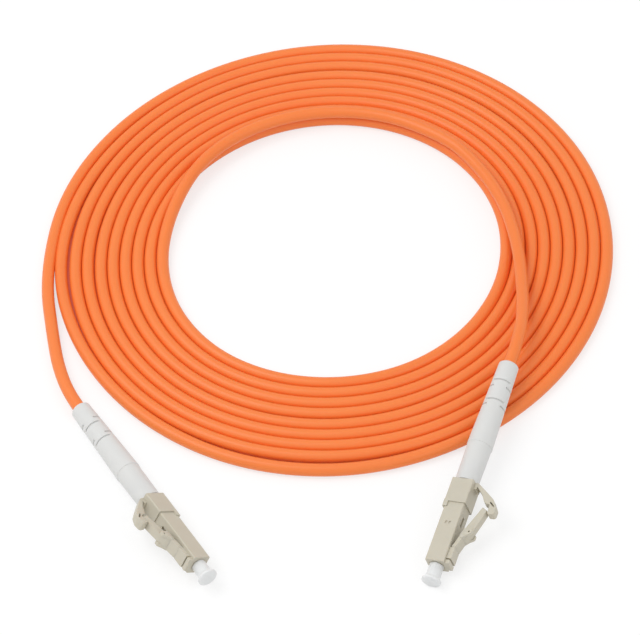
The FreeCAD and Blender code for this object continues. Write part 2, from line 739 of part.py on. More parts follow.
def report_coil(path):
    """Print the coil's length and its least gap to itself, measured on points of its centre line."""
    points = path.discretize(Distance=COIL_CHECK_STEP)
    apart = int(math.pi * (COIL_OUTER_RADIUS - COIL_TURNS * COIL_PITCH) / COIL_CHECK_STEP)
    pairs = ((i, j) for i in range(len(points)) for j in range(i + apart, len(points)))
    least = min((points[i] - points[j]).Length for i, j in pairs)
    print("coil: length %.1f mm, least gap to itself %.2f mm" % (path.Length, least - CABLE_DIAMETER))


def make_coil():
    path = coil_path()
    report_coil(path)
    return path.makePipeShell([cord_section(path.Vertexes[0].Point, V(0, 1, 0))], True, False)


def cord_stretch(name, points):
    """A free stretch of cable: straight runs joined by the largest tangent arcs that its runs allow."""
    edges = []
    radii = []
    here = points[0]
    for before, corner, after in zip(points, points[1:], points[2:]):
        leg = ARC_SHARE * min((corner - before).Length, (after - corner).Length)
        start = corner + (before - corner).normalize() * leg
        end = corner + (after - corner).normalize() * leg
        edges.append(Part.LineSegment(here, start).toShape())
        arc, radius = corner_arc(start, corner, end)
        edges.append(arc)
        radii.append(radius)
        here = end
    edges.append(Part.LineSegment(here, points[-1]).toShape())
    path = Part.Wire(edges)
    section = cord_section(points[0], (points[1] - points[0]).normalize())
    solid = path.makePipeShell([section], True, False)
    expected = Part.Face(section).Area * path.Length
    print("%s: length %.1f mm, volume / expected %.4f" % (name, path.Length, solid.Volume / expected))
    print("%s: radii %s" % (name, " ".join("%.0f" % radius for radius in radii)))
    if min(radii) < LEAST_BEND_DIAMETERS * CABLE_DIAMETER:
        print("%s: bends tighter than %.0f diameters" % (name, LEAST_BEND_DIAMETERS))
    return solid


def boot_mouth(nose, axes):
    """Where the cable leaves a boot."""
    return nose - axes[0] * BOOT_REAR


def tail_points(coil_end, route, nose, axes, exit_run):
    """A tail's corner points, from the coil's end to the boot, in the part's frame."""
    start = COIL_CENTRE + coil_end + V(0, 0, cord_height())
    middle = [COIL_CENTRE + V(*point) for point in route]
    mouth = boot_mouth(nose, axes)
    return [start] + middle + [mouth - axes[0] * exit_run, mouth]


def build():
    """All the pieces by name, in the part's frame."""
    pieces = {}
    for side, nose, axes in (("left", LEFT_PLUG_NOSE, LEFT_AXES), ("right", RIGHT_PLUG_NOSE, RIGHT_AXES)):
        place = plug_matrix(nose, axes)
        plug = {name: make() for name, make in PLUG_PIECES.items()}
        if side == "left":
            plug["trigger"] = pressed(plug["trigger"], trigger_hinge(), LEFT_TRIGGER_DOWN)
            plug["latch"] = pressed(plug["latch"], latch_hinge(), -LEFT_TRIGGER_DOWN * LATCH_SHARE)
        for name, piece in plug.items():
            pieces[side + "_" + name] = piece.transformed(place, True)
    coil = make_coil()
    coil.translate(COIL_CENTRE)
    pieces["cable_coil"] = coil
    left = tail_points(coil_outer_end(), LEFT_ROUTE, LEFT_PLUG_NOSE, LEFT_AXES, LEFT_EXIT_RUN)
    right = tail_points(coil_inner_end(), RIGHT_ROUTE, RIGHT_PLUG_NOSE, RIGHT_AXES, RIGHT_EXIT_RUN)
    pieces["cable_left_tail"] = cord_stretch("left tail", left)
    pieces["cable_right_tail"] = cord_stretch("right tail", right)
    return pieces


def main():
    os.makedirs("parts", exist_ok=True)
    for name, shape in build().items():
        solids = shape.Solids
        if not shape.isValid() or len(solids) != 1:
            print("%s: valid %s, solids %d" % (name, shape.isValid(), len(solids)))
        shape.exportStep("parts/%s.step" % name)


if __name__ == "__main__":
    main()
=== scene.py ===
"""Looks of a fiber optic patch cord: an orange cable wound in a flat coil, with a latched plug at each end.

Every plug piece is modelled in millimetres in the plug's own frame (+X out of the nose, +Z towards the latch,
origin on the nose's front face) and then put in its place, in metres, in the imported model's frame.
"""

import json
import logging
import math
from dataclasses import dataclass
from enum import Enum

import bmesh
import bpy
from mathutils import Matrix, Vector

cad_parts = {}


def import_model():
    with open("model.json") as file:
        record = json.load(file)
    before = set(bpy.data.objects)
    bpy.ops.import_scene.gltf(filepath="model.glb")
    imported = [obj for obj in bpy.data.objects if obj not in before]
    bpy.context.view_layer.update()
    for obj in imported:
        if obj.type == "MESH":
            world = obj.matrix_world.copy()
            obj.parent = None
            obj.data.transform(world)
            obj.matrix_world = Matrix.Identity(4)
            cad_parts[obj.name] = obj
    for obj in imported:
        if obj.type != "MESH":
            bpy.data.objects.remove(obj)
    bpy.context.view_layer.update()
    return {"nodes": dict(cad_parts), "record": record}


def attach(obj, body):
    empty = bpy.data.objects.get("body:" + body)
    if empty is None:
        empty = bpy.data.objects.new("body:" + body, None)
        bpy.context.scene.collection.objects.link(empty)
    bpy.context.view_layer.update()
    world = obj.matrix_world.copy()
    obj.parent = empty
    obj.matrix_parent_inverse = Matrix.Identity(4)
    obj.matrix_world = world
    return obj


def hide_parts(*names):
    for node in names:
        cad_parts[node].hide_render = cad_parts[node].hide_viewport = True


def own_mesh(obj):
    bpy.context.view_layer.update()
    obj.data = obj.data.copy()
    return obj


log = logging.getLogger("patch_cord")

MM = 0.001
ROOT_BODY = "cord"
LEFT_TRIGGER_DOWN = 10.5
LEFT_BOOT_TURN = -35.0
RIGHT_BOOT_TURN = -15.5

# Edges sharper than this, in degrees, are rounded and shaded as edges
SHARP_ANGLE = 38.0

# The least part of a normal along an axis for a face that faces it, and for one that is square to it
FACING = 0.9
SQUARE = 0.9999

# How far points may lie off a level, out of a skin and apart when they are merged, in millimetres
LEVEL = 0.001
SKIN = 0.01
CUT_MERGE = 0.0005
SEAM_MERGE = 0.002

# Further out than any piece, in millimetres
BEYOND = 99.0

# Steps of roundings and sides of round shapes
SLEEVE_ROUND_STEPS = 7
EDGE_ROUND_STEPS = 2
BORE_SIDES = 32
BEAD_SIDES = 28

Pair = tuple[float, float]
Point = tuple[float, float, float]
Colour = tuple[float, float, float]
Mesh = bmesh.types.BMesh
Vert = bmesh.types.BMVert
Face = bmesh.types.BMFace
Material = bpy.types.Material


class Side(Enum):
    """The cord's two plugs."""

    LEFT = "left"
    RIGHT = "right"


# Shader maths


class Socket:
    """A shader output that can be used in Python expressions; each operation adds a Math node."""

    def __init__(self, tree: "ShaderTree", output: bpy.types.NodeSocket) -> None:
        """Wraps an output of a node in the tree."""
        self.tree = tree
        self.output = output

    def _math(self, operation: str, first: object, second: object) -> "Socket":
        """The result of one more Math node, from two values or sockets."""
        return self.tree.node("ShaderNodeMath", {"operation": operation}, {0: first, 1: second})

    def __add__(self, other: object) -> "Socket":
        """Sum."""
        return self._math("ADD", self, other)

    def __radd__(self, other: object) -> "Socket":
        """Sum, with the number first."""
        return self._math("ADD", other, self)

    def __sub__(self, other: object) -> "Socket":
        """Difference."""
        return self._math("SUBTRACT", self, other)

    def __rsub__(self, other: object) -> "Socket":
        """Difference, with the number first."""
        return self._math("SUBTRACT", other, self)

    def __mul__(self, other: object) -> "Socket":
        """Product."""
        return self._math("MULTIPLY", self, other)

    def __rmul__(self, other: object) -> "Socket":
        """Product, with the number first."""
        return self._math("MULTIPLY", other, self)

    def greater(self, other: "Socket") -> "Socket":
        """The greater of the two."""
        return self._math("MAXIMUM", self, other)

    def above(self, limit: float) -> "Socket":
        """1 where it is over a limit, else 0."""
        return self._math("GREATER_THAN", self, limit)


class ShaderTree:
    """The nodes of a material or of the world, added by one method."""

    def __init__(self, owner: Material | bpy.types.World) -> None:
        """Clears the owner's nodes.

        Args:
            owner: The material or world.
        """
        self.owner = owner
        owner.use_nodes = True
        self.nodes = owner.node_tree.nodes
        self.links = owner.node_tree.links
        self.nodes.clear()

    @classmethod
    def of(cls, name: str) -> "ShaderTree":
        """Starts a new material."""
        return cls(bpy.data.materials.new(name))

    def node(self, kind: str, settings: dict, inputs: dict, result: object = 0) -> Socket:
        """Adds a node, sets it up, then fills its sockets.

        Args:
            kind: The node's type.
            settings: The node's own settings, set first.
            inputs: Values or sockets by the input's name or number.
            result: The output to return, by name or number.

        Returns:
            The chosen output.
        """
        made = self.nodes.new(kind)
        for key, value in settings.items():
            setattr(made, key, value)
        for key, value in inputs.items():
            if isinstance(value, Socket):
                self.links.new(value.output, made.inputs[key])
            else:
                made.inputs[key].default_value = value
        return Socket(self, made.outputs[result] if len(made.outputs) else None)

    def coordinates(self) -> Socket:
        """The piece's own Object coordinates, in metres."""
        return self.node("ShaderNodeTexCoord", {}, {}, "Object")

    def seen_directly(self) -> Socket:
        """1 for rays from the camera, a gloss or a clear piece, and 0 for light that bounces."""
        camera, glossy, through = (
            self.node("ShaderNodeLightPath", {}, {}, f"Is {kind} Ray") for kind in ("Camera", "Glossy", "Transmission")
        )
        return camera.greater(glossy).greater(through)

    def noise(self, scale: float, detail: float) -> Socket:
        """Noise between 0 and 1 with so many features per metre and octaves."""
        inputs = {"Vector": self.coordinates(), "Scale": scale, "Detail": detail, "Roughness": 0.55}
        return self.node("ShaderNodeTexNoise", {"noise_dimensions": "3D"}, inputs)

    def blend(self, factor: object, *ends: object) -> Socket:
        """A mix of two colours, each a triple or a socket; the factor is 0 for the first and 1 for the second."""
        first, second = (end if isinstance(end, Socket) else (*end, 1.0) for end in ends)
        return self.node("ShaderNodeMix", {"data_type": "RGBA"}, {0: factor, 6: first, 7: second}, 2)


# Finishes


@dataclass(frozen=True)
class Finish:
    """A surface that drifts between two close colours, with a fine grain and light that soaks in a little.

    The clouds and the grain are each given by features per metre and octaves, the relief by its height in metres
    and its strength, the roughening by how far the clouds and how far the grain raise the roughness.
    """

    name: str
    colour: Colour
    shade: Colour
    roughness: float
    roughening: Pair
    clouds: Pair
    grain: Pair
    relief: Pair
    soaking: float = 0.0
    soak_reach: Colour = (0.001, 0.001, 0.001)
    extras: tuple = ()

    def tone(self, tree: ShaderTree, clouds: Socket) -> Socket:
        """What blends the two colours: the clouds, if the finish has nothing else."""
        return clouds

    def material(self) -> Material:
        """Makes the material.

        Returns:
            The material.
        """
        tree = ShaderTree.of(self.name)
        clouds, grain = tree.noise(*self.clouds), tree.noise(*self.grain)
        by_clouds, by_grain = self.roughening
        height, strength = self.relief
        shader = tree.node("ShaderNodeBsdfPrincipled", {}, {
            "Base Color": tree.blend(self.tone(tree, clouds), self.colour, self.shade),
            "Roughness": self.roughness + by_clouds * clouds + by_grain * grain,
            "Subsurface Weight": self.soaking,
            "Subsurface Radius": self.soak_reach,
            "Subsurface Scale": 1.0,
            "Normal": tree.node("ShaderNodeBump", {}, {"Height": grain, "Distance": height, "Strength": strength}),
            **dict(self.extras),
        })
        tree.node("ShaderNodeOutputMaterial", {}, {"Surface": shader})
        return tree.owner


@dataclass(frozen=True)
class MouldedPlastic(Finish):
    """Satin injection-moulded plastic: faint flow shading, a fine spark-eroded grain and soft sheen."""

    roughness: float = 0.37
    roughening: Pair = (0.1, 0.06)
    clouds: Pair = (260.0, 3.0)
    grain: Pair = (9000.0, 2.0)
    relief: Pair = (0.00001, 0.35)
    soaking: float = 0.12
    soak_reach: Colour = (0.0012, 0.0010, 0.0007)


@dataclass(frozen=True)
class CableJacket(Finish):
    """Extruded cable jacket: satin, with faint lengthwise drift in colour and a fine grain."""

    roughness: float = 0.32
    roughening: Pair = (0.12, 0.0)
    clouds: Pair = (900.0, 3.0)
    grain: Pair = (5200.0, 2.0)
    relief: Pair = (0.000012, 0.4)
    soaking: float = 0.08
    soak_reach: Colour = (0.0012, 0.0004, 0.0001)
    extras: tuple = (("Specular IOR Level", 0.45),)
    drift: Pair = (45.0, 2.0)
    drift_share: float = 0.65

    def tone(self, tree: ShaderTree, clouds: Socket) -> Socket:
        """A slow drift with a part of the clouds in it."""
        return self.drift_share * tree.noise(*self.drift) + (1.0 - self.drift_share) * clouds


@dataclass(frozen=True)
class SoftElastomer(Finish):
    """Matte moulded elastomer, near white, with a soft bloom and the faintest handling marks."""

    roughness: float = 0.54
    roughening: Pair = (0.1, 0.0)
    clouds: Pair = (170.0, 4.0)
    grain: Pair = (6500.0, 3.0)
    relief: Pair = (0.000014, 0.35)
    soaking: float = 0.2
    soak_reach: Colour = (0.0016, 0.0015, 0.0014)
    extras: tuple = (("Sheen Weight", 0.08),)


@dataclass(frozen=True)
class MilkyResin(Finish):
    """Milky resin of a dust cap: light soaks into it, only a little passes, and the surface is satin."""

    roughness: float = 0.34
    roughening: Pair = (0.08, 0.0)
    clouds: Pair = (420.0, 3.0)
    grain: Pair = (7000.0, 2.0)
    relief: Pair = (0.000004, 0.2)
    soaking: float = 0.6
    soak_reach: Colour = (0.0018, 0.0018, 0.0018)
    extras: tuple = (("IOR", 1.46), ("Transmission Weight", 0.06))


@dataclass(frozen=True)
class WorkedMetal(Finish):
    """Bare metal with fine tool marks."""

    roughness: float = 0.27
    roughening: Pair = (0.0, 0.16)
    clouds: Pair = (500.0, 2.0)
    grain: Pair = (5200.0, 4.0)
    relief: Pair = (0.000008, 0.4)
    extras: tuple = (("Metallic", 1.0),)


@dataclass(frozen=True)
class PolishedCeramic(Finish):
    """White ceramic, ground and polished."""

    roughness: float = 0.12
    roughening: Pair = (0.0, 0.06)
    clouds: Pair = (700.0, 2.0)
    grain: Pair = (9000.0, 2.0)
    relief: Pair = (0.000003, 0.2)
    soaking: float = 0.15
    soak_reach: Colour = (0.0008, 0.0008, 0.0007)
    extras: tuple = (("Coat Weight", 0.3),)


@dataclass(frozen=True)
class FilamentYarn(Finish):
    """Strength yarn: fine parallel filaments."""

    roughness: float = 0.55
    roughening: Pair = (0.0, 0.2)
    clouds: Pair = (7000.0, 4.0)
    grain: Pair = (7000.0, 4.0)
    relief: Pair = (0.00005, 0.8)
    extras: tuple = (("Sheen Weight", 0.3),)


FINISHES = (
    MouldedPlastic("housing_beige", (0.575, 0.533, 0.432), (0.613, 0.571, 0.468)),
    MouldedPlastic("inner_beige", (0.46, 0.42, 0.34), (0.50, 0.46, 0.38)),
    CableJacket("jacket_orange", (0.93, 0.205, 0.036), (0.96, 0.25, 0.052)),
    SoftElastomer("boot_white", (0.71, 0.71, 0.695), (0.75, 0.75, 0.735)),
    MilkyResin("cap_clear", (0.84, 0.86, 0.86), (0.90, 0.91, 0.91)),
    PolishedCeramic("ferrule_ceramic", (0.83, 0.81, 0.76), (0.87, 0.86, 0.82)),
    WorkedMetal("flange_metal", (0.55, 0.54, 0.50), (0.62, 0.61, 0.57)),
    WorkedMetal("spring_steel", (0.50, 0.50, 0.51), (0.58, 0.58, 0.59), 0.21),
    WorkedMetal("crimp_metal", (0.60, 0.60, 0.60), (0.68, 0.68, 0.68), 0.31),
    FilamentYarn("yarn_yellow", (0.62, 0.42, 0.08), (0.74, 0.54, 0.14)),
    CableJacket("buffer_orange", (0.90, 0.26, 0.07), (0.92, 0.30, 0.09)),
)


# The plug's own frame


@dataclass(frozen=True)
class PlugPlace:
    """Where a plug lies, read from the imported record: its mount gives the nose, a hinge its cross direction."""

    side: Side
    nose: Vector
    ahead: Vector
    across: Vector

    @classmethod
    def read(cls, side: Side, record: dict) -> "PlugPlace":
        """Finds a plug's place.

        Args:
            side: Which plug.
            record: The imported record.

        Returns:
            The plug's place.
        """
        mount = next(m for m in record["mounts"] if m["name"] == side.value + "_plug")
        joints = record["behaviour"]["joints"]
        hinge = next(j for j in joints if j["name"] == side.value + "_trigger_press")
        ahead = Vector(mount["axis"]).normalized()
        across = Vector(hinge["axis"])
        across = (across - ahead * across.dot(ahead)).normalized()
        return cls(side, Vector(mount["pos_m"]), ahead, across)

    def matrix(self) -> Matrix:
        """Takes a point of the plug, in millimetres, to the model's frame, in metres."""
        latchward = self.ahead.cross(self.across)
        turn = Matrix((self.ahead, self.across, latchward)).transposed().to_4x4()
        return Matrix.Translation(self.nose) @ turn @ Matrix.Scale(MM, 4)

    def node(self, name: str) -> str:
        """A CAD node's name on this plug."""
        return f"{self.side.value}_{name}"


# Steps that several pieces share, in plug millimetres


def add_object(name: str, data: bpy.types.ID) -> bpy.types.Object:
    """Adds an object to the scene.

    Args:
        name: The object's name.
        data: Its mesh, curve, camera or lamp.

    Returns:
        The object.
    """
    made = bpy.data.objects.new(name, data)
    bpy.context.scene.collection.objects.link(made)
    return made


def shift(mesh: Mesh, parts: list, move: Point) -> list[Vert]:
    """Moves the vertices among new parts of a mesh.

    Args:
        mesh: The mesh.
        parts: Vertices, edges and faces.
        move: How far and which way.

    Returns:
        The moved vertices.
    """
    moved = [part for part in parts if isinstance(part, Vert)]
    bmesh.ops.translate(mesh, vec=move, verts=moved)
    return moved


def round_edges(mesh: Mesh, edges: list, width: float, steps: int, clamped: bool = True) -> None:
    """Rounds edges by a width in steps, clamped where the roundings would overlap."""
    bmesh.ops.bevel(
        mesh, geom=edges, offset=width, segments=steps, profile=0.5, affect="EDGES", clamp_overlap=clamped,
        material=-1,
    )


def square_sleeve(mesh: Mesh, width: float, rear: float, front: float, edge_round: float) -> None:
    """Adds an open square tube along X, with its four long edges rounded.

    Args:
        mesh: The mesh.
        width: The square's side.
        rear: The rear station.
        front: The front station.
        edge_round: The radius of the long edges.
    """
    verts = bmesh.ops.create_cube(mesh, size=1.0)["verts"]
    bmesh.ops.scale(mesh, vec=(front - rear, width, width), verts=verts)
    bmesh.ops.translate(mesh, vec=((front + rear) / 2.0, 0.0, 0.0), verts=verts)
    ends = [face for face in mesh.faces if abs(face.normal.x) > FACING and set(face.verts) <= set(verts)]
    edges = {edge for vert in verts for edge in vert.link_edges}
    long_edges = [edge for edge in edges if abs(edge.verts[0].co.x - edge.verts[1].co.x) > SKIN]
    bmesh.ops.delete(mesh, geom=ends, context="FACES_ONLY")
    round_edges(mesh, long_edges, edge_round, SLEEVE_ROUND_STEPS, clamped=False)


def round_sleeve(mesh: Mesh, radius: float, rear: float, front: float) -> None:
    """Adds an open round tube along X.

    Args:
        mesh: The mesh.
        radius: The tube's radius.
        rear: The rear station.
        front: The front station.
    """
    turn = Matrix.Rotation(math.radians(90.0), 4, "Y") @ Matrix.Rotation(math.pi / BORE_SIDES, 4, "Z")
    place = Matrix.Translation((front, 0.0, 0.0)) @ turn
    verts = bmesh.ops.create_circle(mesh, segments=BORE_SIDES, radius=radius, matrix=place)["verts"]
    edges = {edge for vert in verts for edge in vert.link_edges}
    swept = bmesh.ops.extrude_edge_only(mesh, edges=list(edges))["geom"]
    shift(mesh, swept, (rear - front, 0.0, 0.0))


def close_ring(mesh: Mesh, station: float) -> None:
    """Joins the two open outlines at a station along X by a flat ring."""
    open_edges = [edge for edge in mesh.edges if edge.is_boundary]
    rims = [edge for edge in open_edges if all(abs(vert.co.x - station) < LEVEL for vert in edge.verts)]
    bmesh.ops.bridge_loops(mesh, edges=rims)


def cut_at(mesh: Mesh, axis: int, *places: float) -> None:
    """Cuts new edges through the whole mesh, square to an axis.

    Args:
        mesh: The mesh.
        axis: 0, 1 or 2.
        places: Where along the axis.
    """
    normal = Vector([1.0 if index == axis else 0.0 for index in range(3)])
    for place in places:
        geom = mesh.verts[:] + mesh.edges[:] + mesh.faces[:]
        bmesh.ops.bisect_plane(mesh, geom=geom, dist=CUT_MERGE, plane_co=normal * place, plane_no=normal)


def faces_within(mesh: Mesh, low: Point, high: Point, facing: Point = None) -> list[Face]:
    """The faces whose middles lie in a box.

    Args:
        mesh: The mesh.
        low: The box's low corner.
        high: The box's high corner.
        facing: The direction that they face, or None for any.

    Returns:
        The faces.
    """
    mesh.normal_update()
    found = []
    for face in mesh.faces:
        middle = face.calc_center_median()
        inside = all(low[i] - LEVEL < middle[i] < high[i] + LEVEL for i in range(3))
        if inside and (facing is None or face.normal.dot(Vector(facing)) > FACING):
            found.append(face)
    return found


def pierce(mesh: Mesh, low: Point, high: Point, through: int) -> None:
    """Cuts a square opening through a wall.

    Args:
        mesh: A closed mesh.
        low: Low corner of a box that holds the opening.
        high: High corner of the box.
        through: The axis that the opening runs along.
    """
    for axis in range(3):
        if axis != through:
            cut_at(mesh, axis, low[axis], high[axis])
    bmesh.ops.delete(mesh, geom=faces_within(mesh, low, high), context="FACES")
    bmesh.ops.bridge_loops(mesh, edges=[edge for edge in mesh.edges if edge.is_boundary])


def pull_out(mesh: Mesh, faces: list[Face], move: Point) -> list[Vert]:
    """Extrudes faces.

    Args:
        mesh: The mesh.
        faces: The faces.
        move: How far and which way.

    Returns:
        The moved vertices.
    """
    moved = shift(mesh, bmesh.ops.extrude_face_region(mesh, geom=faces)["geom"], move)
    bmesh.ops.delete(mesh, geom=[face for face in faces if face.is_valid], context="FACES")
    return moved


def turned(mesh: Mesh, profile: tuple, steps: int) -> None:
    """Spins a closed outline of (station, radius) points about X.

    Args:
        mesh: The mesh.
        profile: The points.
        steps: Steps round the axis.
    """
    verts = [mesh.verts.new((station, 0.0, radius)) for station, radius in profile]
    edges = [mesh.edges.new(pair) for pair in zip(verts, verts[1:] + verts[:1])]
    bmesh.ops.spin(
        mesh, geom=verts + edges, cent=(0.0, 0.0, 0.0), axis=(1.0, 0.0, 0.0), angle=math.tau, steps=steps,
        use_merge=True,
    )


def cross_bead(mesh: Mesh, centre: Pair, radius: float, width: float) -> None:
    """Adds a round bead across the plug, the outside of a living hinge."""
    place = Matrix.Translation((centre[0], 0.0, centre[1])) @ Matrix.Rotation(math.radians(90.0), 4, "X")
    bmesh.ops.create_cone(
        mesh, cap_ends=True, segments=BEAD_SIDES, radius1=radius, radius2=radius, depth=width, matrix=place
    )


def prism(mesh: Mesh, outline: tuple, middle: float, width: float) -> None:
    """Adds a closed solid from a side outline, drawn in the plug's XZ plane.

    Args:
        mesh: The mesh.
        outline: The outline's (station, height) points in order.
        middle: Where the solid's middle lies across the plug.
        width: Its width across the plug.
    """
    near = mesh.faces.new([mesh.verts.new((x, middle - width / 2.0, z)) for x, z in outline])
    grown = bmesh.ops.extrude_face_region(mesh, geom=[near], use_keep_orig=True)["geom"]
    shift(mesh, grown, (0.0, width, 0.0))


def round_cross_edges(mesh: Mesh, corners: list[Pair], width: float, steps: int) -> None:
    """Rounds the edges that run across the plug at some corners of an outline.

    Args:
        mesh: The mesh.
        corners: The corners' (station, height) points.
        width: How wide the rounding is.
        steps: Its steps.
    """
    chosen = []
    for edge in mesh.edges:
        first, second = (vert.co for vert in edge.verts)
        across = abs(first.x - second.x) < LEVEL and abs(first.z - second.z) < LEVEL
        if across and any(math.hypot(first.x - x, first.z - z) < SKIN for x, z in corners):
            chosen.append(edge)
    round_edges(mesh, chosen, width, steps)


def sink_mark(mesh: Mesh, centre: Point, length: float, width: float, lean: float, depth: float) -> None:
    """Sinks a small slot into the side face that its middle lies on.

    Args:
        mesh: The mesh.
        centre: The slot's middle, on a face square to the plug's cross direction.
        length: Its length.
        width: Its width.
        lean: Its direction's angle from the plug's axis, in degrees.
        depth: How deep it goes.
    """
    turn = Matrix.Rotation(math.radians(-lean), 3, "Y")
    outward = math.copysign(1.0, centre[1])
    middle = Vector(centre)
    ways = ((turn @ Vector((1.0, 0.0, 0.0)), length), (turn @ Vector((0.0, 0.0, 1.0)), width))

    def side_faces() -> list[Face]:
        """The faces in the slot's plane."""
        low, high = (-BEYOND, centre[1], -BEYOND), (BEYOND, centre[1], BEYOND)
        return faces_within(mesh, low, high, (0.0, outward, 0.0))

    bmesh.ops.triangulate(mesh, faces=side_faces())
    for way, reach in ways:
        for side in (-0.5, 0.5):
            faces = side_faces()
            geom = faces + list({e for f in faces for e in f.edges}) + list({v for f in faces for v in f.verts})
            place = middle + way * (reach * side)
            bmesh.ops.bisect_plane(mesh, geom=geom, dist=CUT_MERGE, plane_co=place, plane_no=way)
    slot = [
        face for face in side_faces()
        if all(abs((face.calc_center_median() - middle).dot(way)) < reach / 2.0 for way, reach in ways)
    ]
    pull_out(mesh, slot, (0.0, -outward * depth, 0.0))


def soften_edges(mesh: Mesh, width: float) -> None:
    """Closes a mesh's seams, turns its faces outward and rounds its sharp edges.

    Args:
        mesh: The mesh.
        width: How wide the rounding is, or 0 for none.
    """
    bmesh.ops.remove_doubles(mesh, verts=mesh.verts[:], dist=SEAM_MERGE)
    bmesh.ops.recalc_face_normals(mesh, faces=mesh.faces[:])
    if width:
        limit = math.radians(SHARP_ANGLE)
        sharp = [edge for edge in mesh.edges if edge.is_manifold and edge.calc_face_angle(0.0) > limit]
        round_edges(mesh, sharp, width, EDGE_ROUND_STEPS)


def swing(mesh: Mesh, hinge: Pair, degrees: float) -> None:
    """Turns a lever about its hinge across the plug, to where it lies at rest."""
    turn = Matrix.Rotation(math.radians(degrees), 3, "Y")
    bmesh.ops.rotate(mesh, cent=(hinge[0], 0.0, hinge[1]), matrix=turn, verts=mesh.verts[:])


@dataclass
class Bench:
    """Where a plug's pieces are finished, with the degrees that its trigger lies down and its boot is turned."""

    place: PlugPlace
    materials: dict[str, Material]
    trigger_down: float
    boot_turn: float

    def piece(
        self, mesh: Mesh, name: str, node: str, slot: str, body: str, soften: float = 0.0, squared: bool = False
    ) -> bpy.types.Object:
        """Turns a mesh in plug millimetres into a finished piece that stands for a CAD node.

        Args:
            mesh: The mesh; it is freed.
            name: The piece's name, without its side.
            node: The node that it replaces, without its side.
            slot: The material slot.
            body: The body that it rides on, without its side, or the cord's own body.
            soften: The width by which sharp edges are rounded, in millimetres.
            squared: Whether it was rounded before, and its faces square to the plug's axes are shaded flat.

        Returns:
            The piece.
        """
        if not squared:
            soften_edges(mesh, soften)
        mesh.normal_update()
        for face in mesh.faces:
            face.smooth = not squared or max(abs(part) for part in face.normal) < SQUARE
        bmesh.ops.transform(mesh, matrix=self.place.matrix(), verts=mesh.verts[:])
        data = bpy.data.meshes.new(self.place.node(name))
        mesh.to_mesh(data)
        mesh.free()
        data.set_sharp_from_angle(angle=math.radians(SHARP_ANGLE))
        data.materials.append(self.materials[slot])
        made = add_object(self.place.node(name), data)
        if soften or squared:
            made.modifiers.new("even_shading", "WEIGHTED_NORMAL").keep_sharp = True
        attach(made, ROOT_BODY if body == ROOT_BODY else self.place.node(body))
        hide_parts(self.place.node(node))
        log.info("%s: %d faces", made.name, len(data.polygons))
        return made


# The plug's pieces


@dataclass
class PlugPiece:
    """A piece of a plug, made on the plug's bench."""

    bench: Bench


@dataclass
class FrontHousing(PlugPiece):
    """Square nose: bore for the ferrule, chamber, snap windows, latch-face slot, front collar and latch root.

    The window and the slot are each given by station, length and width.
    """

    width: float = 4.5
    length: float = 17.5
    edge_round: float = 0.25
    bore_radius: float = 1.45
    bore_depth: float = 4.0
    chamber_width: float = 3.4
    chamber_round: float = 0.1
    window: tuple = (9.9, 0.7, 0.5)
    window_height: float = 0.42
    window_depth: float = 0.2
    slot: tuple = (11.5, 2.4, 0.9)
    slot_heights: Pair = (1.5, 2.5)
    collar_rear: float = 0.92
    collar_height: float = 1.02
    root_front: float = 1.28
    root_rear: float = 4.14
    root_width: float = 3.2
    root_height: float = 1.15
    softness: float = 0.07

    def build(self) -> None:
        """Makes the housing."""
        half = self.width / 2.0
        mesh = bmesh.new()
        square_sleeve(mesh, self.width, -self.length, 0.0, self.edge_round)
        square_sleeve(mesh, self.chamber_width, -self.length, -self.bore_depth, self.chamber_round)
        round_sleeve(mesh, self.bore_radius, -self.bore_depth, 0.0)
        for station in (0.0, -self.bore_depth, -self.length):
            close_ring(mesh, station)
        bmesh.ops.recalc_face_normals(mesh, faces=mesh.faces[:])
        centre, length, width = self.slot
        low, high = self.slot_heights
        pierce(mesh, (-centre - length / 2.0, -width / 2.0, low), (-centre + length / 2.0, width / 2.0, high), 2)
        cut_at(mesh, 0, -self.collar_rear, -self.root_front, -self.root_rear)
        wide = self.root_width / 2.0
        cut_at(mesh, 1, -wide, wide)
        for rear, front, height in (
            (self.root_rear, self.root_front, self.root_height), (self.collar_rear, 0.0, self.collar_height)
        ):
            top = faces_within(mesh, (-rear, -wide, half - SKIN), (-front, wide, half), (0, 0, 1))
            pull_out(mesh, top, (0.0, 0.0, height))
        soften_edges(mesh, self.softness)
        centre, length, width = self.window
        for side in (-half, half):
            for height in (-self.window_height, self.window_height):
                sink_mark(mesh, (-centre, side, height), length, width, 0.0, self.window_depth)
        self.bench.piece(mesh, "nose_housing", "front_housing", "housing_beige", ROOT_BODY, squared=True)


